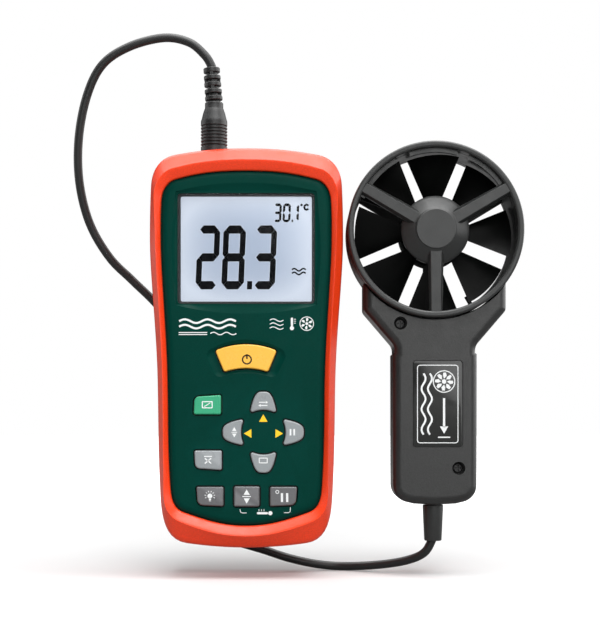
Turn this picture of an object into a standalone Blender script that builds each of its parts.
"""Vane anemometer: a handheld meter in a rubber boot, joined by a lead to a vane probe.

The meter stands upright and faces -Y. The origin is the middle of the meter's back, which is the plane
y = 0. The probe hangs to the right of the meter, and its lead loops over the top and behind the meter.
All sizes here are in millimetres; the helpers scale them to metres.
"""
import math

import bmesh
import bpy
from mathutils import Matrix, Quaternion, Vector
from mathutils.geometry import interpolate_bezier

MM = 0.001
GAP = 0.3            # play between pieces that rest on each other
LATHE_STEPS = 40
HOLE_SEGMENTS = 20
SPIN = math.radians(7)   # keeps a round hole's facets off the seams of the wall it goes through
STRAIGHT = 0.04          # a point this near the line between its neighbours is left out

# ---- Driving dimensions: meter ------------------------------------------------------------------
# Right half of the meter's outline, top to bottom: x, z, heading in degrees, handle in, handle out.
METER_KNOTS = (
    (0.0, 81.6, 0, 0, 12),
    (29.0, 79.0, -10, 10, 6.4),
    (39.0, 66.5, -87, 6.4, 8),
    (39.5, 44.0, -90, 8, 14),
    (36.3, -14.0, -91, 20, 15),
    (35.2, -60.0, -93, 15, 9),
    (24.5, -79.8, -172, 9, 8),
    (0.0, -81.6, -180, 9, 0),
)
# Right half of the opening in the front of the boot, which frames the keypad and the display.
OPENING_KNOTS = (
    (0.0, 71.8, 0, 0, 12),
    (28.6, 68.3, -15, 10, 3.6),
    (34.4, 60.0, -86, 3.6, 6),
    (34.7, 44.0, -90, 6, 14),
    (31.9, -14.0, -91, 20, 15),
    (30.8, -56.0, -94, 15, 5),
    (25.2, -67.0, -161, 5, 9),
    (0.0, -72.4, -180, 10, 0),
)
BOOT_FRONT_Y = -37.8
BOOT_WALL = 2.5
BOOT_LIP_BACK_Y = -33.5      # the back of the boot's front lip
BOOT_REAR_LIP_Y = -3.0       # the front of the boot's rear lip
BOOT_REAR_LIP_WIDTH = 6.0
CASE_INSET = BOOT_WALL + GAP
CASE_WALL = 2.0
BOOT_INNER_SLOPE = 1.8       # width of the slope from the boot's crest down to its opening, at the sides
BOOT_END_SLOPE = 2.2         # how much wider that slope is at the top and the bottom
CASE_RIM_Y = -33.2           # case front under the boot's lip
FACE_Y = -35.5               # the raised face that fills the boot's opening
CASE_BACK_Y = -3.3
PAD_SPAN_X = 21.0            # the raised pad on the back, whose flat face is the plane y = 0
PAD_SPAN_Z = (-5.0, 60.0)
PARTING_Y = -19.0
CASE_SCREWS = ((26.5, 69.5), (25.0, -63.5))

# ---- Display ------------------------------------------------------------------------------------
DISPLAY_Z = 40.2
WINDOW_SIZE = (55.8, 45.0)
VIEW_SIZE = (53.2, 42.6)
SCOOP = (0.057, 0.15)        # how far the slopes round the window bow outwards, as shares of its size
SCOOP_DEPTH = 0.8
FRAME_SIZE = (59.4, 49.4)
GLASS_SIZE = (56.8, 46.8)
BACKLIGHT_HEIGHT = 41.5      # leaves room for the elastomer strip along the glass's lower edge

# ---- Keys: every key stands proud of the face and is pressed along +Y ---------------------------
KEY_TOP_Y = -36.6
KEY_FLANGE_Y = (-33.2, -32.2)
KEY_FLANGE_WIDTH = 1.0
KEY_HOLE_PLAY = 0.4
MAT_Y = (-31.0, -30.2)
BOARD_Y = (-29.8, -28.2)
CLUSTER_CENTRE = (7.0, -34.4)
CLUSTER_RADIUS = 7.7

# ---- Battery ------------------------------------------------------------------------------------
BATTERY_SIZE = (26.5, 17.5, 48.5)
BATTERY_CENTRE = (0.0, -14.25, -35.5)
BOX_WALL = 1.5
DOOR_SPAN_X = 15.6
DOOR_SPAN_Z = (-68.5, -7.6)
DOOR_Y = (-5.1, -3.3)
DOOR_SCREW_Z = -65.4

# ---- Plug and jack ------------------------------------------------------------------------------
CONTACT_TIP_Z = 68.5         # 6.7 mm inside the jack's mouth
PLUG_X = -13.9
PLUG_Y = -19.0
PLUG_GRIP_Z = (79.1, 102.7)
PLUG_RADIUS = 5.5
RELIEF_LENGTH = 14.4
RELIEF_LEAN = math.radians(-4.3)

# ---- Probe --------------------------------------------------------------------------------------
PROBE_X = 77.2
PROBE_Y = -19.0
VANE_Z = 48.3
HEAD_RADIUS = 36.0
HEAD_BORE = 33.4
HEAD_Y = (-34.0, -4.0)
GUARD_RING_DEPTH = 5.1
HUB_FACE_RADIUS = 8.1
HUB_RADIUS = 14.0
STRUT_ANGLES = (-90, 30, 150)
HANDLE_Y = (-30.0, -8.0)
HANDLE_WALL = 2.2
PROBE_SCREWS = ((PROBE_X - 14.2, 10.2), (PROBE_X + 9.6, -49.2))
LABEL_SIZE = (20.0, 35.0)
LABEL_CENTRE = (PROBE_X + 1.0, -22.9)

# ---- Rotor --------------------------------------------------------------------------------------
BLADE_COUNT = 8
BLADE_TIP = 32.6
BLADE_ROOT = 11.6
BLADE_SLOT = 4.4             # width of the slot between two blades, seen along the axle
BLADE_DEPTH = 5.0            # half of a blade's extent along the axle, at its tip
BLADE_THICKNESS = 0.7
AXLE_RADIUS = 0.75

# ---- Lead ---------------------------------------------------------------------------------------
CABLE_RADIUS = 1.8
LEAD_END = (PROBE_X, PROBE_Y, -78.6)
SOCKET_RADIUS = 2.15         # the flared mouth of the handle's strain relief, which the lead swings in
CABLE_SAMPLES = 4            # points between two knots of the cable's path

COLOURS = {
    "boot_rubber": ((0.80, 0.085, 0.035), 0.45, 0.0),
    "case_green": ((0.004, 0.04, 0.032), 0.5, 0.0),
    "key_yellow": ((0.85, 0.42, 0.04), 0.5, 0.0),
    "key_green": ((0.03, 0.36, 0.17), 0.5, 0.0),
    "key_grey": ((0.33, 0.35, 0.36), 0.5, 0.0),
    "key_dark": ((0.12, 0.12, 0.125), 0.5, 0.0),
    "clear": ((0.75, 0.8, 0.85), 0.1, 0.0),
    "display": ((0.42, 0.48, 0.58), 0.3, 0.0),
    "board_green": ((0.01, 0.15, 0.04), 0.5, 0.0),
    "probe_black": ((0.05, 0.052, 0.052), 0.55, 0.0),
    "blade_black": ((0.006, 0.006, 0.006), 0.5, 0.0),
    "cable_black": ((0.02, 0.02, 0.02), 0.5, 0.0),
    "steel": ((0.55, 0.55, 0.57), 0.3, 1.0),
    "brass": ((0.7, 0.5, 0.2), 0.3, 1.0),
    "battery": ((0.03, 0.03, 0.04), 0.35, 0.0),
}


# ---- Scene and materials ------------------------------------------------------------------------
def clear_scene():
    for obj in list(bpy.data.objects):
        bpy.data.objects.remove(obj)


def new_collection(name, hidden=False):
    collection = bpy.data.collections.new(name)
    bpy.context.scene.collection.children.link(collection)
    collection.hide_render = hidden
    return collection


def material(name):
    if name in bpy.data.materials:
        return bpy.data.materials[name]
    colour, roughness, metallic = COLOURS[name]
    made = bpy.data.materials.new(name)
    made.use_nodes = True
    shader = made.node_tree.nodes["Principled BSDF"]
    shader.inputs["Base Color"].default_value = (*colour, 1.0)
    shader.inputs["Roughness"].default_value = roughness
    shader.inputs["Metallic"].default_value = metallic
    return made


def place(name, mesh, finish=None, at=(0, 0, 0), turn=(0, 0, 0)):
    """Links a mesh as a part, or as a hidden cutter when it has no finish. at is in millimetres."""
    obj = bpy.data.objects.new(name, mesh)
    obj.location = Vector(at) * MM
    obj.rotation_euler = turn
    if finish is None:
        CUTTERS.objects.link(obj)
        obj.hide_render = True
        obj.display_type = "WIRE"
    else:
        PARTS.objects.link(obj)
        mesh.materials.append(material(finish))
    return obj


def shade_round(mesh, angle=35):
    mesh.shade_smooth()
    mesh.set_sharp_from_angle(angle=math.radians(angle))


# ---- Outlines: lists of (x, z) in millimetres ---------------------------------------------------
def without_straights(points):
    kept = [points[0]]
    for here, after in zip(points[1:], points[2:]):
        along = (after - kept[-1]).normalized()
        if abs(along.cross(here - kept[-1])) > STRAIGHT:
            kept.append(here)
    return kept + [points[-1]]


def smooth_outline(knots, steps=4):
    """A closed outline, mirrored about x = 0, through half of its knots."""
    right = []
    for first, last in zip(knots, knots[1:]):
        start, end = Vector(first[:2]), Vector(last[:2])
        leaving, arriving = math.radians(first[2]), math.radians(last[2])
        handle_a = start + Vector((math.cos(leaving), math.sin(leaving))) * first[4]
        handle_b = end - Vector((math.cos(arriving), math.sin(arriving))) * last[3]
        right += interpolate_bezier(start, handle_a, handle_b, end, steps + 1)[:-1]
    right.append(Vector(knots[-1][:2]))
    right = without_straights(right)
    left = [Vector((-p.x, p.y)) for p in reversed(right[1:-1])]
    return [(p[0], p[1]) for p in right + left]


def softened(corners, steps=4):
    """A closed outline from (x, z, radius) corners, with an arc in place of each corner."""
    outline = []
    for i, (x, z, radius) in enumerate(corners):
        here = Vector((x, z))
        before = (Vector(corners[i - 1][:2]) - here).normalized()
        after = (Vector(corners[(i + 1) % len(corners)][:2]) - here).normalized()
        half = before.angle(after) / 2
        if radius <= 0 or half > math.radians(80):
            outline.append((x, z))
            continue
        centre = here + (before + after).normalized() * (radius / math.sin(half))
        start = here + before * (radius / math.tan(half)) - centre
        end = here + after * (radius / math.tan(half)) - centre
        sweep = start.angle_signed(end)
        for step in range(steps + 1):
            spoke = Matrix.Rotation(-sweep * step / steps, 2) @ start
            outline.append(tuple(centre + spoke))
    return outline


def rectangle(width, height, radius=0.0, centre=(0.0, 0.0)):
    x, z = centre
    w, h = width / 2, height / 2
    return softened([(x - w, z + h, radius), (x + w, z + h, radius),
                     (x + w, z - h, radius), (x - w, z - h, radius)])


def bowed(start, end, rise, steps=6):
    """Points from start to end, bowed to the left of the way by rise, without the last one."""
    start, end = Vector(start), Vector(end)
    side = Vector((start.y - end.y, end.x - start.x)).normalized()
    points = []
    for step in range(steps):
        t = step / steps
        points.append(tuple(start.lerp(end, t) + side * rise * 4 * t * (1 - t)))
    return points


def inset(outline, distance):
    """The outline moved inwards by a distance, or outwards by a negative one."""
    points = [Vector(p) for p in outline]
    count = len(points)
    area = sum(points[i - 1].cross(points[i]) for i in range(count))
    turn = 1 if area > 0 else -1
    moved = []
    for i, here in enumerate(points):
        along_in = (here - points[i - 1]).normalized()
        along_out = (points[(i + 1) % count] - here).normalized()
        bisector = (along_in + along_out).normalized()
        normal = Vector((-bisector.y, bisector.x)) * turn
        stretch = 1 / max(0.35, bisector.dot(along_in))
        moved.append(tuple(here + normal * distance * stretch))
    return moved


def shifted(outline, dx, dz):
    return [(x + dx, z + dz) for x, z in outline]


def turned_outline(outline, degrees):
    turn = Matrix.Rotation(math.radians(degrees), 2)
    return [tuple(turn @ Vector(p)) for p in outline]


def with_radius(points, radius, sharp=30):
    """Corners for softened(): points that turn sharply get the radius, and the others none."""
    corners = []
    for i, point in enumerate(points):
        here = Vector(point)
        before = here - Vector(points[i - 1])
        after = Vector(points[(i + 1) % len(points)]) - here
        is_corner = before.angle(after) > math.radians(sharp)
        corners.append((*point, radius if is_corner else 0.0))
    return corners


# ---- Solids -------------------------------------------------------------------------------------
def bevel_rim(bm, height, width, segments):
    """Rounds the rim of the cap that lies at this local height."""
    rim = [e for e in bm.edges
           if all(abs(v.co.z - height) < 1e-6 for v in e.verts)
           and len(e.link_faces) == 2 and e.calc_face_angle() > math.radians(45)]
    bmesh.ops.bevel(bm, geom=rim, offset=width * MM, offset_type="OFFSET", segments=segments,
                    profile=0.5, affect="EDGES", clamp_overlap=True)


def prism(name, outline, front, back, finish=None, at=(0, 0), front_bevel=None, back_bevel=None):
    """A plate with this outline between y = front and y = back. at is the x, z of its own origin."""
    curve = bpy.data.curves.new(name, "CURVE")
    curve.dimensions = "2D"
    curve.fill_mode = "BOTH"
    half = (back - front) / 2 * MM
    curve.extrude = half
    spline = curve.splines.new("POLY")
    spline.points.add(len(outline) - 1)
    for point, (x, z) in zip(spline.points, outline):
        point.co = (x * MM, z * MM, 0, 1)
    spline.use_cyclic_u = True
    guide = bpy.data.objects.new(name + "_curve", curve)
    bpy.context.scene.collection.objects.link(guide)
    graph = bpy.context.evaluated_depsgraph_get()
    mesh = bpy.data.meshes.new_from_object(guide.evaluated_get(graph))
    bpy.data.objects.remove(guide)
    bpy.data.curves.remove(curve)
    mesh.materials.clear()

    bm = bmesh.new()
    bm.from_mesh(mesh)
    bmesh.ops.remove_doubles(bm, verts=bm.verts, dist=1e-6)
    bmesh.ops.dissolve_limit(bm, angle_limit=math.radians(0.2), verts=bm.verts, edges=bm.edges)
    if front_bevel:
        bevel_rim(bm, half, *front_bevel)
    if back_bevel:
        bevel_rim(bm, -half, *back_bevel)
    bmesh.ops.recalc_face_normals(bm, faces=bm.faces)
    bm.to_mesh(mesh)
    bm.free()
    shade_round(mesh)
    return place(name, mesh, finish, (at[0], (front + back) / 2, at[1]), (math.pi / 2, 0, 0))


def loft(name, rings, finish=None, at=(0, 0)):
    """A solid through (outline, y) rings, whose outlines all have the same number of points."""
    bm = bmesh.new()
    loops = [[bm.verts.new(Vector((x, y, z)) * MM) for x, z in outline] for outline, y in rings]
    for near, far in zip(loops, loops[1:]):
        for i in range(len(near)):
            bm.faces.new((near[i - 1], near[i], far[i], far[i - 1]))
    bm.faces.new(loops[0])
    bm.faces.new(reversed(loops[-1]))
    bmesh.ops.recalc_face_normals(bm, faces=bm.faces)
    mesh = bpy.data.meshes.new(name)
    bm.to_mesh(mesh)
    bm.free()
    shade_round(mesh)
    return place(name, mesh, finish, (at[0], 0, at[1]))


def box(name, size, centre, finish=None):
    bm = bmesh.new()
    bmesh.ops.create_cube(bm, size=1.0)
    bmesh.ops.scale(bm, vec=Vector(size) * MM, verts=bm.verts)
    mesh = bpy.data.meshes.new(name)
    bm.to_mesh(mesh)
    bm.free()
    return place(name, mesh, finish, centre)


def cylinder(name, radius, start, end, finish=None, segments=HOLE_SEGMENTS, end_radius=None):
    """A cylinder or a cone between two points."""
    start, end = Vector(start), Vector(end)
    bm = bmesh.new()
    bmesh.ops.create_cone(bm, cap_ends=True, segments=segments, radius1=radius * MM,
                          radius2=(end_radius or radius) * MM, depth=(end - start).length * MM)
    mesh = bpy.data.meshes.new(name)
    bm.to_mesh(mesh)
    bm.free()
    shade_round(mesh)
    turn = (end - start).to_track_quat("Z", "Y") @ Quaternion((0, 0, 1), SPIN)
    return place(name, mesh, finish, (start + end) / 2, turn.to_euler())


def lathe(name, profile, finish=None, at=(0, 0, 0), along_y=True, closed=True, steps=LATHE_STEPS, lean=0.0):
    """A turned solid from a (radius, place on the axis) profile. An open profile ends on the axis."""
    sign = -1 if along_y else 1
    points = [Vector((radius, sign * place_on_axis)) for radius, place_on_axis in profile]
    area = sum(points[i - 1].cross(points[i]) for i in range(len(points)))
    if area > 0:
        points.reverse()
    edges = [(i, i + 1) for i in range(len(points) - 1)]
    if closed:
        edges.append((len(points) - 1, 0))
    mesh = bpy.data.meshes.new(name)
    mesh.from_pydata([(p.x * MM, 0, p.y * MM) for p in points], edges, [])
    obj = place(name, mesh, finish, at, (math.pi / 2, 0, 0) if along_y else (0, lean, 0))
    screw = obj.modifiers.new("Turn", "SCREW")
    screw.steps = steps
    screw.render_steps = steps
    screw.use_smooth_shade = True
    screw.use_merge_vertices = True
    screw.merge_threshold = 1e-5
    return obj


def add_boolean(target, others, operation):
    """One Boolean between the target and a collection of hidden shapes."""
    index = len(target.modifiers)
    group = bpy.data.collections.new(f"{target.name} {operation.lower()} {index}")
    CUTTERS.children.link(group)
    for other in others:
        CUTTERS.objects.unlink(other)
        group.objects.link(other)
    modifier = target.modifiers.new(operation.title(), "BOOLEAN")
    modifier.operation = operation
    modifier.operand_type = "COLLECTION"
    modifier.collection = group
    modifier.solver = "EXACT"


def cut(target, *others):
    """Notes a cut. The Booleans are added last, since a prism has to evaluate the scene so far."""
    WAITING.append((target, others, "DIFFERENCE"))


def join(target, *others):
    WAITING.append((target, others, "UNION"))


# ---- Fasteners ----------------------------------------------------------------------------------
def screw(name, x, z, head_y, length, head_radius, shank_radius, facing):
    """A pan-head cross screw. facing is -1 for a head at the front, and +1 for one at the back."""
    head_height = 1.8
    under_head = head_y - facing * head_height
    tip = under_head - facing * length
    profile = [(0, head_y), (head_radius * 0.7, head_y), (head_radius, head_y - facing * 0.6),
               (head_radius, under_head), (shank_radius, under_head),
               (shank_radius, tip + facing * 1.2), (0, tip)]
    made = lathe(name, profile, "steel", (x, 0, z), closed=False, steps=16)
    arm = head_radius * 1.1
    slots = [box(f"{name}_slot_{side}", (w, 1.8, h), (x, head_y, z))
             for side, w, h in (("a", arm, 0.6), ("b", 0.6, arm))]
    cut(made, *slots)
    return made


# ---- Meter: boot and case -----------------------------------------------------------------------
def both_sides(places):
    return [(side * x, z) for x, z in places for side in (-1, 1)]


def crest_outline(opening, reach):
    """The opening moved out across the boot's inner slope by this share of it, further at its ends."""
    moved = []
    for (x, z), (out_x, out_z) in zip(opening, inset(opening, -1)):
        width = BOOT_INNER_SLOPE + BOOT_END_SLOPE * min(1, abs(z) / 68) ** 6
        moved.append((x + (out_x - x) * width * reach, z + (out_z - z) * width * reach))
    return moved


def make_boot(meter, opening):
    boot = prism("rubber_boot", meter, BOOT_FRONT_Y, 0.0, "boot_rubber",
                 front_bevel=(2.4, 3), back_bevel=(1.8, 2))
    cut(boot, prism("boot_cavity", inset(meter, BOOT_WALL), BOOT_LIP_BACK_Y, BOOT_REAR_LIP_Y))
    cut(boot,
        prism("boot_front_opening", opening, BOOT_FRONT_Y - 2, BOOT_LIP_BACK_Y + 2),
        loft("boot_slope", [(crest_outline(opening, 1.2), BOOT_FRONT_Y - 0.5),
                            (crest_outline(opening, -0.1), FACE_Y + 0.1)]),
        prism("boot_back_opening", inset(meter, BOOT_REAR_LIP_WIDTH), BOOT_REAR_LIP_Y - 2, 2),
        cylinder("boot_plug_hole", PLUG_RADIUS + 0.6, (PLUG_X, PLUG_Y, 74), (PLUG_X, PLUG_Y, 90)))
    return boot


def window_scoop(share, steps=8):
    """The window's outline, with its sides bowed outwards by a share of the scoop."""
    half_x, half_z = WINDOW_SIZE[0] / 2 + 0.3, WINDOW_SIZE[1] / 2 + 0.3
    corners = [(-half_x, half_z), (half_x, half_z), (half_x, -half_z), (-half_x, -half_z)]
    points = []
    for start, end in zip(corners, corners[1:] + corners[:1]):
        points += bowed(start, end, 0, steps)
    bow_x, bow_z = SCOOP[0] * share, SCOOP[1] * share
    margin = 1 + 0.012 * share
    return [(x * (margin + bow_x * (1 - (z / half_z) ** 2)),
             DISPLAY_Z + z * (margin + bow_z * (1 - (x / half_x) ** 2))) for x, z in points]


def power_dish():
    """The hollow in the face round the power key: a fan like the key, but wider."""
    fan = (bowed((-17.0, -2.0), (17.0, -2.0), 5.2, 8)
           + bowed((17.0, -2.0), (12.0, -12.6), 0, 1)
           + bowed((12.0, -12.6), (-12.0, -12.6), -2.1, 6)
           + [(-12.0, -12.6)])
    return softened(with_radius(fan, 2.6, 40), 4)


def make_front_case(meter, opening, keys):
    case = prism("front_case", inset(meter, CASE_INSET), CASE_RIM_Y, PARTING_Y - 0.15, "case_green",
                 front_bevel=(1.6, 1))
    join(case, prism("face", inset(opening, 0.35), FACE_Y, CASE_RIM_Y + 1, front_bevel=(1.9, 1)))
    cut(case,
        prism("case_cavity", inset(meter, CASE_INSET + CASE_WALL), CASE_RIM_Y + CASE_WALL, PARTING_Y + 1),
        prism("face_cavity", inset(opening, 2.4), FACE_Y + CASE_WALL, CASE_RIM_Y + 3))
    posts = [cylinder(f"front_post_{i}", 3.3, (x, CASE_RIM_Y + 1, z), (x, PARTING_Y - 0.15, z))
             for i, (x, z) in enumerate(both_sides(CASE_SCREWS))]
    join(case, *posts)
    holes = [cylinder(f"front_screw_hole_{i}", 1.7, (x, -29, z), (x, PARTING_Y + 1, z))
             for i, (x, z) in enumerate(both_sides(CASE_SCREWS))]
    holes.append(prism("window_opening", rectangle(*WINDOW_SIZE, 1.6, (0, DISPLAY_Z)), -40, -30))
    holes.append(cylinder("front_jack_hole", 4.0, (PLUG_X, PLUG_Y, 74), (PLUG_X, PLUG_Y, 84)))
    dish = power_dish()
    holes.append(loft("power_dish", [(inset(dish, -0.3), FACE_Y - 0.3), (inset(dish, 1.6), FACE_Y + 0.7)]))
    holes.append(loft("window_scoop", [(window_scoop(1.15), FACE_Y - 0.15 * SCOOP_DEPTH),
                                       (window_scoop(0), FACE_Y + SCOOP_DEPTH)]))
    for name, (centre, outline, _) in keys.items():
        holes.append(prism(f"{name}_hole", inset(outline, -KEY_HOLE_PLAY), -40, -30, at=centre))
    cut(case, *holes)
    return case


def make_rear_case(meter):
    case = prism("rear_case", inset(meter, CASE_INSET), PARTING_Y + 0.15, CASE_BACK_Y, "case_green",
                 back_bevel=(1.6, 1))
    cut(case, prism("rear_cavity", inset(meter, CASE_INSET + CASE_WALL), PARTING_Y - 1,
                    CASE_BACK_Y - CASE_WALL))
    width, depth, height = BATTERY_SIZE
    x, y, z = BATTERY_CENTRE
    inner_width, inner_height = width + 0.9, height + 4
    inner_front = y - depth / 2 - GAP
    inner_z = z + 1.5
    box_depth = CASE_BACK_Y - inner_front
    wall_depth = box_depth + BOX_WALL - 0.8
    posts = [cylinder(f"rear_post_{i}", 4.3, (sx, PARTING_Y + 0.15, sz), (sx, CASE_BACK_Y - 1, sz))
             for i, (sx, sz) in enumerate(both_sides(CASE_SCREWS))]
    posts.append(cylinder("door_post", 3.0, (x, -16, DOOR_SCREW_Z), (x, CASE_BACK_Y - 1, DOOR_SCREW_Z)))
    door_z = (DOOR_SPAN_Z[0] + DOOR_SPAN_Z[1]) / 2
    door_height = DOOR_SPAN_Z[1] - DOOR_SPAN_Z[0] + 2 * GAP
    seat_width, seat_height = 2 * (DOOR_SPAN_X + GAP + BOX_WALL), door_height + 2 * BOX_WALL
    join(case, *posts)
    pad_z = (PAD_SPAN_Z[0] + PAD_SPAN_Z[1]) / 2
    pad_size = (2 * PAD_SPAN_X, PAD_SPAN_Z[1] - PAD_SPAN_Z[0])
    join(case, prism("back_pad", rectangle(*pad_size, 3, (0, pad_z)), CASE_BACK_Y - 1, 0,
                     back_bevel=(0.6, 1)))
    join(case,
         box("battery_box", (inner_width + 2 * BOX_WALL, wall_depth, inner_height + 2 * BOX_WALL),
             (x, inner_front - BOX_WALL + wall_depth / 2, inner_z)),
         box("door_seat", (seat_width, 3.2, seat_height), (x, DOOR_Y[0] - 0.8, door_z)))
    cuts = [
        box("battery_hollow", (inner_width, box_depth + 2, inner_height),
            (x, inner_front + box_depth / 2 + 1, inner_z)),
        prism("door_recess", rectangle(2 * (DOOR_SPAN_X + GAP), door_height, 1.5, (x, door_z)),
              DOOR_Y[0] - GAP, 2),
        cylinder("door_screw_hole", 1.6, (x, -13, DOOR_SCREW_Z), (x, 0, DOOR_SCREW_Z)),
        cylinder("rear_jack_hole", 4.0, (PLUG_X, PLUG_Y, 74), (PLUG_X, PLUG_Y, 84)),
    ]
    for i, (sx, sz) in enumerate(both_sides(CASE_SCREWS)):
        cuts.append(cylinder(f"rear_screw_hole_{i}", 1.7, (sx, PARTING_Y - 2, sz), (sx, 0, sz)))
        cuts.append(cylinder(f"rear_counterbore_{i}", 3.1, (sx, -7.5, sz), (sx, 0, sz)))
    cut(case, *cuts)
    return case


def make_case_screws():
    for i, (x, z) in enumerate(both_sides(CASE_SCREWS)):
        screw(f"case_screw_{i + 1}", x, z, CASE_BACK_Y - 2.1, 17.0, 2.7, 1.4, 1)


# ---- Meter: display, keys and electronics -------------------------------------------------------
def make_display():
    centre = (0, DISPLAY_Z)
    window = (WINDOW_SIZE[0] - 2 * GAP, WINDOW_SIZE[1] - 2 * GAP)
    prism("display_window", rectangle(*window, 1.3, centre), -34.9, -33.4, "clear")
    frame = prism("display_frame", rectangle(*FRAME_SIZE, 3.0, centre), -33.1, -30.2, "probe_black")
    pocket = (GLASS_SIZE[0] + 2 * GAP, GLASS_SIZE[1] + 2 * GAP)
    cut(frame,
        prism("frame_view", rectangle(*VIEW_SIZE, 0.6, centre), -35, -29),
        prism("frame_pocket", rectangle(*pocket, 0.5, centre), -32.3, -29))
    prism("lcd_glass", rectangle(*GLASS_SIZE, 0.5, centre), -32.0, -30.9, "display")
    backlight_centre = (0, DISPLAY_Z + (GLASS_SIZE[1] - BACKLIGHT_HEIGHT) / 2)
    prism("lcd_backlight", rectangle(GLASS_SIZE[0], BACKLIGHT_HEIGHT, 0.5, backlight_centre),
          -30.65, -30.05, "clear")
    box("elastomer_strip", (50, 0.6, 2.4), (0, -30.35, DISPLAY_Z - GLASS_SIZE[1] / 2 + 2), "cable_black")


def petal(width=5.4, height=8.7, hollow=1.3, steps=7):
    """A key of the four-way cluster: a blunt arch over a hollow base."""
    right = []
    for step in range(steps):
        share = (1 - step / steps) ** 3
        right.append((width * share ** 0.3, height * (1 - share)))
    left = [(-x, z) for x, z in reversed(right)]
    base = bowed(left[-1], right[0], hollow)[1:]
    return softened(with_radius(right + [(0, height)] + left + base, 0.8, 60), 3)


def key_outlines():
    """Each key's (centre, outline about that centre, finish)."""
    power = (bowed((-12.5, 3.4), (12.5, 3.4), 2.5, 8)
             + bowed((12.5, 3.4), (8.9, -5.3), 0, 1)
             + bowed((8.9, -5.3), (-8.9, -5.3), -1.5, 6)
             + [(-8.9, -5.3)])
    clipped = [(-5.3, 3.3, 2.2), (5.5, 4.0, 0.7), (5.5, -3.9, 0.7), (-5.6, -3.9, 0.7)]
    average = [(x, -z, r) for x, z, r in reversed(clipped)]
    light = [(-5.5, 3.9, 0.7), (5.5, 3.9, 0.7), (5.5, -4.0, 0.7), (-5.0, -3.5, 2.4)]
    hold = [(-x, z, r) for x, z, r in reversed(light)]
    keys = {
        "power_key": ((0.0, -4.7), softened(with_radius(power, 1.0, 45), 3), "key_yellow"),
        "area_key": ((-15.6, -23.3), softened(clipped), "key_green"),
        "average_key": ((-15.3, -45.7), softened(average), "key_grey"),
        "backlight_key": ((-14.6, -60.4), softened(light), "key_dark"),
        "max_min_key": ((0.3, -60.4), rectangle(10.4, 8.2, 0.8), "key_dark"),
        "hold_key": ((15.2, -60.4), softened(hold), "key_dark"),
    }
    for name, degrees in (("up_key", 0), ("left_key", 90), ("down_key", 180), ("right_key", -90)):
        heading = math.radians(degrees + 90)
        centre = (CLUSTER_CENTRE[0] + CLUSTER_RADIUS * math.cos(heading),
                  CLUSTER_CENTRE[1] + CLUSTER_RADIUS * math.sin(heading))
        keys[name] = (centre, turned_outline(petal(), degrees), "key_grey")
    return keys


def make_keys(keys):
    for name, (centre, outline, finish) in keys.items():
        key = prism(name, outline, KEY_TOP_Y, KEY_FLANGE_Y[1], finish, centre, front_bevel=(0.4, 1))
        join(key, prism(f"{name}_flange", inset(outline, -KEY_FLANGE_WIDTH), *KEY_FLANGE_Y, at=centre))


def keypad_outline(top, upper_width, lower_width, bottom):
    step_z = -56
    return softened([(-upper_width, top, 1), (upper_width, top, 1), (upper_width, step_z, 1),
                     (lower_width, step_z - 1, 0.5), (lower_width, bottom, 1), (-lower_width, bottom, 1),
                     (-lower_width, step_z - 1, 0.5), (-upper_width, step_z, 1)])


def make_electronics():
    prism("keypad_mat", keypad_outline(5.0, 26.0, 20.0, -70.0), *MAT_Y, "key_dark")
    board = prism("main_board", keypad_outline(65.0, 28.0, 20.4, -71.0), *BOARD_Y, "board_green")
    cut(board, cylinder("board_hole", 1.5, (-24, -35, 9), (-24, -20, 9)),
        cylinder("board_hole_2", 1.5, (24, -35, 9), (24, -20, 9)))
    box("main_chip", (12, 1.6, 12), (0, BOARD_Y[1] + 1.1, 20), "battery")
    jack = lathe("probe_jack", [(0, 58), (5.2, 58), (5.2, 75.2), (3.6, 75.2), (3.6, 61), (0, 61)],
                 "probe_black", (PLUG_X, PLUG_Y, 0), along_y=False, closed=False, steps=24)
    cut(jack, box("jack_key_slot", (1.6, 3, 6), (PLUG_X, PLUG_Y - 5, 75)))


def make_battery():
    box("battery_9v", BATTERY_SIZE, BATTERY_CENTRE, "battery")
    x, y, z = BATTERY_CENTRE
    top = z + BATTERY_SIZE[2] / 2
    box("battery_snap", (24, 12, 2.6), (x, y, top + 0.3 + 1.3), "probe_black")
    door_z = (DOOR_SPAN_Z[0] + DOOR_SPAN_Z[1]) / 2
    height = DOOR_SPAN_Z[1] - DOOR_SPAN_Z[0]
    door = prism("battery_door", rectangle(2 * DOOR_SPAN_X, height, 1.3, (0, door_z)), *DOOR_Y, "case_green")
    ribs = [box(f"door_rib_{i}", (16, 0.6, 1.0), (x, DOOR_Y[1] + 0.2, -16 - 2.2 * i)) for i in range(5)]
    join(door, *ribs)
    cut(door, cylinder("door_hole", 1.7, (x, -8, DOOR_SCREW_Z), (x, 0, DOOR_SCREW_Z)),
        cylinder("door_countersink", 2.9, (x, -4.3, DOOR_SCREW_Z), (x, 0, DOOR_SCREW_Z)))
    screw("battery_door_screw", x, DOOR_SCREW_Z, -2.2, 7.0, 2.5, 1.3, 1)


# ---- Probe --------------------------------------------------------------------------------------
def handle_outline():
    cradle = HEAD_RADIUS + GAP
    shoulder_x = 29.2
    reach = math.asin(shoulder_x / cradle)
    steps = 16
    arc = []
    for step in range(steps + 1):
        angle = -reach + 2 * reach * step / steps
        arc.append((cradle * math.sin(angle), VANE_Z - cradle * math.cos(angle), 0.0))
    right = [(shoulder_x, 15.6, 3), (16.7, 1.0, 5), (16.6, -1.8, 0), (17.3, -2.4, 0), (17.2, -61.8, 7),
             (8.6, -63.8, 0), (0, -64.3, 0)]
    left = [(-x, z, r) for x, z, r in reversed(right[:-1])]
    return shifted(softened(arc + right + left), PROBE_X, 0)


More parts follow.
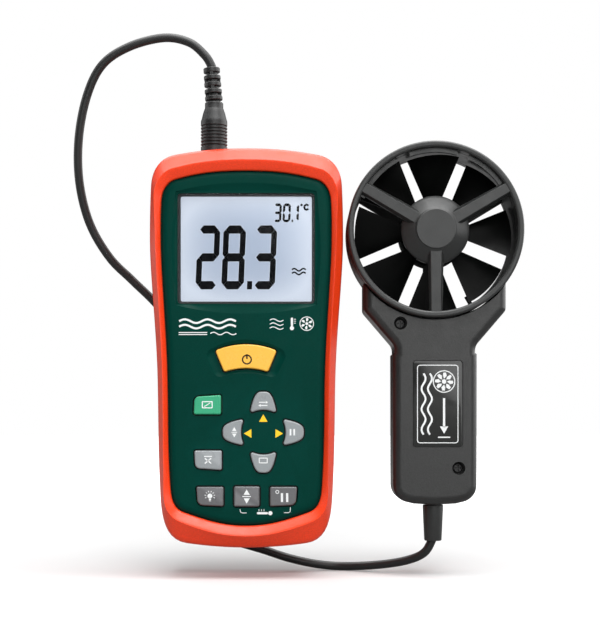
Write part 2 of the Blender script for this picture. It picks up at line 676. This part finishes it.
def make_handle():
    outline = handle_outline()
    hollow = inset(outline, HANDLE_WALL)
    mid = PROBE_Y
    front = prism("probe_front_case", outline, HANDLE_Y[0], mid - 0.15, "probe_black", front_bevel=(3.4, 3))
    rear = prism("probe_rear_case", outline, mid + 0.15, HANDLE_Y[1], "probe_black", back_bevel=(3.4, 3))
    cut(front, prism("probe_front_hollow", hollow, HANDLE_Y[0] + HANDLE_WALL, mid + 1))
    cut(rear, prism("probe_rear_hollow", hollow, mid - 1, HANDLE_Y[1] - HANDLE_WALL))
    join(front, *[cylinder(f"probe_front_post_{i}", 4.0, (x, HANDLE_Y[0] + 1, z), (x, mid - 0.15, z))
                  for i, (x, z) in enumerate(PROBE_SCREWS)])
    join(rear, *[cylinder(f"probe_rear_post_{i}", 3.2, (x, mid + 0.15, z), (x, HANDLE_Y[1] - 1, z))
                 for i, (x, z) in enumerate(PROBE_SCREWS)])
    front_cuts = [prism("label_recess", rectangle(LABEL_SIZE[0] + 0.5, LABEL_SIZE[1] + 0.5, 1.2, LABEL_CENTRE),
                        HANDLE_Y[0] - 1, HANDLE_Y[0] + 0.7)]
    rear_cuts = []
    for i, (x, z) in enumerate(PROBE_SCREWS):
        front_cuts.append(cylinder(f"probe_counterbore_{i}", 2.5, (x, -40, z), (x, -24, z)))
        front_cuts.append(cylinder(f"probe_screw_hole_{i}", 1.5, (x, -40, z), (x, -18, z)))
        rear_cuts.append(cylinder(f"probe_post_hole_{i}", 1.5, (x, -20, z), (x, -11, z)))
    for name, cuts in (("front", front_cuts), ("rear", rear_cuts)):
        cuts.append(box(f"{name}_tongue_slot", (19.0, 14.6, 16), (PROBE_X, mid, 9)))
        cuts.append(cylinder(f"{name}_relief_hole", 2.9, (PROBE_X, mid, -72), (PROBE_X, mid, -58)))
    cut(front, *front_cuts)
    cut(rear, *rear_cuts)
    prism("probe_label", rectangle(*LABEL_SIZE, 1.0, LABEL_CENTRE), HANDLE_Y[0] + 0.05, HANDLE_Y[0] + 0.4,
          "blade_black")
    for name, (x, z) in zip(("probe_screw_upper", "probe_screw_lower"), PROBE_SCREWS):
        screw(name, x, z, -26.1, 11.0, 2.3, 1.2, -1)
    box("probe_board", (20, 1.2, 32), (PROBE_X, -16.9, -26), "board_green")


def make_guard(name, side):
    """A guard: an outer ring, three struts and a domed hub with a bearing seat. side is -1 at the front."""
    def y_at(depth):
        return PROBE_Y + side * depth
    outer = abs(HEAD_Y[0] - PROBE_Y)
    inner = outer - GUARD_RING_DEPTH
    hub = [(0, y_at(outer + 1)), (HUB_FACE_RADIUS, y_at(outer + 1)), (HUB_RADIUS, y_at(10.8)),
           (HUB_RADIUS, y_at(9.6)), (12.6, y_at(9.6)), (12.6, y_at(10.4)), (7.4, y_at(14.2)),
           (4.4, y_at(14.2)), (4.4, y_at(10.0)), (2.65, y_at(10.0)), (2.65, y_at(12.6)),
           (1.2, y_at(12.6)), (1.2, y_at(14.4)), (0, y_at(14.4))]
    centre = (PROBE_X, 0, VANE_Z)
    guard = lathe(name, hub, "probe_black", centre, closed=False)
    ring = lathe(f"{name}_ring", [(HEAD_BORE, y_at(inner)), (HEAD_BORE, y_at(outer)),
                                  (HEAD_RADIUS, y_at(outer)), (HEAD_RADIUS, y_at(inner))], None, centre)
    struts = []
    start, end = HUB_FACE_RADIUS - 0.8, HEAD_BORE + 1.2
    for i, degrees in enumerate(STRUT_ANGLES):
        outline = [(start, 3.3), (end, 2.7), (end, -2.7), (start, -3.3)]
        near, far = sorted((y_at(outer - 3.4), y_at(outer - 0.3)))
        strut = turned_outline(outline, degrees)
        struts.append(prism(f"{name}_strut_{i}", strut, near, far, at=(PROBE_X, VANE_Z)))
    join(guard, ring, *struts)
    return guard


def blade_mesh(name):
    """One blade about the axle's +X spoke: a sheet whose edges run parallel to the slots beside it."""
    across, along = 5, 6
    pitch = math.pi / BLADE_COUNT
    bm = bmesh.new()
    grid = []
    for i in range(along):
        radius = BLADE_ROOT + (BLADE_TIP - BLADE_ROOT) * i / (along - 1)
        half_angle = pitch - math.asin(BLADE_SLOT / 2 / radius)
        depth = BLADE_DEPTH * (0.45 + 0.55 * (radius - BLADE_ROOT) / (BLADE_TIP - BLADE_ROOT))
        row = []
        for j in range(across):
            t = 2 * j / (across - 1) - 1
            angle = half_angle * t
            row.append(bm.verts.new(Vector((radius * math.cos(angle), radius * math.sin(angle),
                                            depth * t)) * MM))
        grid.append(row)
    for i in range(along - 1):
        for j in range(across - 1):
            bm.faces.new((grid[i][j], grid[i + 1][j], grid[i + 1][j + 1], grid[i][j + 1]))
    mesh = bpy.data.meshes.new(name)
    bm.to_mesh(mesh)
    bm.free()
    return mesh


def make_rotor():
    centre = (PROBE_X, 0, VANE_Z)
    bore = AXLE_RADIUS + 0.1
    hub = [(bore, -27.4), (3, -27.4), (3, -26.6), (12.2, -26.6), (12.2, -12.6), (11, -12.6), (11, -25.2),
           (3, -25.2), (3, -10.9), (bore, -10.9)]
    rotor = lathe("vane_rotor", hub, "blade_black", centre)
    sheet = blade_mesh("blade")
    blades = []
    for i in range(BLADE_COUNT):
        blade = place(f"blade_{i}", sheet, None, (PROBE_X, PROBE_Y, VANE_Z))
        blade.rotation_euler = (math.pi / 2, math.pi / 2 - 2 * math.pi * i / BLADE_COUNT, 0)
        thick = blade.modifiers.new("Thickness", "SOLIDIFY")
        thick.thickness = BLADE_THICKNESS * MM
        thick.offset = 0
        blades.append(blade)
    join(rotor, *blades)
    cylinder("vane_axle", AXLE_RADIUS, (PROBE_X, -32.8, VANE_Z), (PROBE_X, -5.2, VANE_Z), "steel")
    for name, near in (("front_bearing", -31.4), ("rear_bearing", -8.9)):
        ring = [(bore, near), (2.5, near), (2.5, near + 2.3), (bore, near + 2.3)]
        lathe(name, ring, "steel", centre, steps=20)


def make_vane_housing():
    inner = abs(HEAD_Y[0] - PROBE_Y) - GUARD_RING_DEPTH - GAP
    near, far = PROBE_Y - inner, PROBE_Y + inner
    housing = lathe("vane_housing", [(HEAD_BORE, near), (HEAD_RADIUS, near), (HEAD_RADIUS, far),
                                     (HEAD_BORE, far)], "probe_black", (PROBE_X, 0, VANE_Z))
    join(housing, box("tongue", (18, 14, 11), (PROBE_X, PROBE_Y, 8.5)))
    cut(housing, cylinder("sensor_pocket", 1.9, (PROBE_X, PROBE_Y, 0), (PROBE_X, PROBE_Y, 11.6)))
    cylinder("pickup_sensor", 1.6, (PROBE_X, PROBE_Y, 4), (PROBE_X, PROBE_Y, 11.3), "blade_black", 12)
    spoke = Vector((math.cos(math.radians(-60)), 0, math.sin(math.radians(-60))))
    hub = Vector((PROBE_X, -10.6, VANE_Z))
    cylinder("thermistor", 0.9, hub + spoke * 29.5, hub + spoke * (HEAD_BORE - GAP), "blade_black", 12)


# ---- Lead ---------------------------------------------------------------------------------------
def make_handle_relief():
    top, bottom = -64.7, LEAD_END[2] - 1.0
    profile = [(0, -60), (4.2, -60), (4.2, -61.6), (2.6, -61.6), (2.6, top), (4.3, top), (3.6, bottom),
               (0, bottom)]
    relief = lathe("handle_strain_relief", profile, "probe_black", (PROBE_X, PROBE_Y, 0), along_y=False,
                   closed=False, steps=24)
    socket = [(SOCKET_RADIUS * math.sin(math.pi * k / 10), SOCKET_RADIUS * math.cos(math.pi * k / 10))
              for k in range(6)]
    socket += [(3.0, -1.6), (0, -1.6)]
    cut(relief, lathe("relief_socket", socket, None, LEAD_END, along_y=False, closed=False, steps=20))


def make_plug():
    low, high = PLUG_GRIP_Z
    profile = [(3.45, low), (PLUG_RADIUS, low)]
    ribs = 7
    first_rib, rib_pitch = low + 4.9, 1.35
    for i in range(ribs):
        z = first_rib + rib_pitch * i
        profile += [(PLUG_RADIUS, z), (PLUG_RADIUS - 0.6, z + 0.25), (PLUG_RADIUS - 0.6, z + 0.6),
                    (PLUG_RADIUS, z + 0.85)]
    profile += [(PLUG_RADIUS - 0.2, high - 7.2), (3.8, high - 2.4), (3.8, high), (0, high),
                (0, low + 6.2), (3.45, low + 6.2)]
    lathe("plug_grip", profile, "probe_black", (PLUG_X, PLUG_Y, 0), along_y=False, steps=20)
    lathe("plug_contact", [(0, CONTACT_TIP_Z), (3.1, CONTACT_TIP_Z), (3.3, CONTACT_TIP_Z + 0.5),
                           (3.3, low + 5.8), (0, low + 5.8)], "steel",
          (PLUG_X, PLUG_Y, 0), along_y=False, closed=False, steps=24)

    discs = 5
    pitch = RELIEF_LENGTH / discs
    rings = [(0, GAP), (2.3, GAP)]
    for i in range(discs):
        z = pitch * i + 0.9
        radius = 3.6 - 0.06 * i
        rings += [(2.3, z), (radius, z + 0.2), (radius, z + pitch - 1.1), (2.3, z + pitch - 0.9)]
    rings[-1] = (rings[-1][0], RELIEF_LENGTH)
    rings.append((0, RELIEF_LENGTH))
    lathe("plug_strain_relief", rings, "probe_black", (PLUG_X, PLUG_Y, high), along_y=False, closed=False,
          steps=16, lean=RELIEF_LEAN)


def cable_knots():
    """The lead's path: over the top of the meter, down its left side, behind it, and up to the probe."""
    start_x = PLUG_X + RELIEF_LENGTH * math.sin(RELIEF_LEAN)
    start_z = PLUG_GRIP_Z[1] + RELIEF_LENGTH * math.cos(RELIEF_LEAN) + CABLE_RADIUS * 0.3 + 0.4
    behind_y = 2.6
    return [
        (start_x, PLUG_Y, start_z),
        (-17.9, PLUG_Y, 122.6),
        (-24.5, PLUG_Y, 127.9),
        (-35.0, PLUG_Y, 129.7),
        (-49.2, -18.5, 126.2),
        (-60.5, -17.5, 119.0),
        (-67.2, -16.0, 106.5),
        (-71.0, -14.0, 89.0),
        (-71.2, -11.0, 71.0),
        (-67.4, -7.0, 54.0),
        (-59.5, -3.0, 40.0),
        (-50.0, 1.2, 30.4),
        (-39.1, behind_y + 0.4, 19.5),
        (-29.0, behind_y, 5.0),
        (-24.8, behind_y, -15.0),
        (-24.6, behind_y, -38.0),
        (-24.4, behind_y, -58.0),
        (-22.8, behind_y, -70.0),
        (-17.0, behind_y, -78.4),
        (-6.0, behind_y, -81.8),
        (6.0, behind_y, -85.3),
        (17.4, behind_y, -89.0),
        (30.0, behind_y - 0.3, -91.6),
        (42.0, 0.6, -92.2),
        (56.0, -7.0, -90.8),
        (67.0, -14.2, -88.2),
        (73.8, -18.2, -84.6),
        LEAD_END,
    ]


def catmull_rom(knots, samples):
    """Points on a smooth curve through the knots."""
    path = []
    padded = [knots[0]] + list(knots) + [knots[-1]]
    for i in range(1, len(padded) - 2):
        a, b, c, d = (Vector(p) for p in padded[i - 1:i + 3])
        for step in range(samples):
            t = step / samples
            path.append(0.5 * (2 * b + (c - a) * t + (2 * a - 5 * b + 4 * c - d) * t ** 2
                               + (3 * b - a - 3 * c + d) * t ** 3))
    path.append(Vector(knots[-1]))
    return path


def make_cable():
    path = catmull_rom(cable_knots(), CABLE_SAMPLES)
    curve = bpy.data.curves.new("probe_cable", "CURVE")
    curve.dimensions = "3D"
    curve.bevel_depth = CABLE_RADIUS * MM
    curve.bevel_resolution = 2
    curve.use_fill_caps = True
    spline = curve.splines.new("POLY")
    spline.points.add(len(path) - 1)
    for point, place_mm in zip(spline.points, path):
        point.co = (*(place_mm * MM), 1)
    cable = bpy.data.objects.new("probe_cable", curve)
    PARTS.objects.link(cable)
    curve.materials.append(material("cable_black"))


def build():
    meter = smooth_outline(METER_KNOTS)
    opening = smooth_outline(OPENING_KNOTS)
    keys = key_outlines()
    make_boot(meter, opening)
    make_front_case(meter, opening, keys)
    make_rear_case(meter)
    make_case_screws()
    make_display()
    make_keys(keys)
    make_electronics()
    make_battery()
    make_handle()
    make_guard("front_guard", -1)
    make_guard("rear_guard", 1)
    make_rotor()
    make_vane_housing()
    make_handle_relief()
    make_plug()
    make_cable()
    for waiting in WAITING:
        add_boolean(*waiting)


WAITING = []
clear_scene()
PARTS = new_collection("vane_anemometer")
CUTTERS = new_collection("cutters", hidden=True)
build()
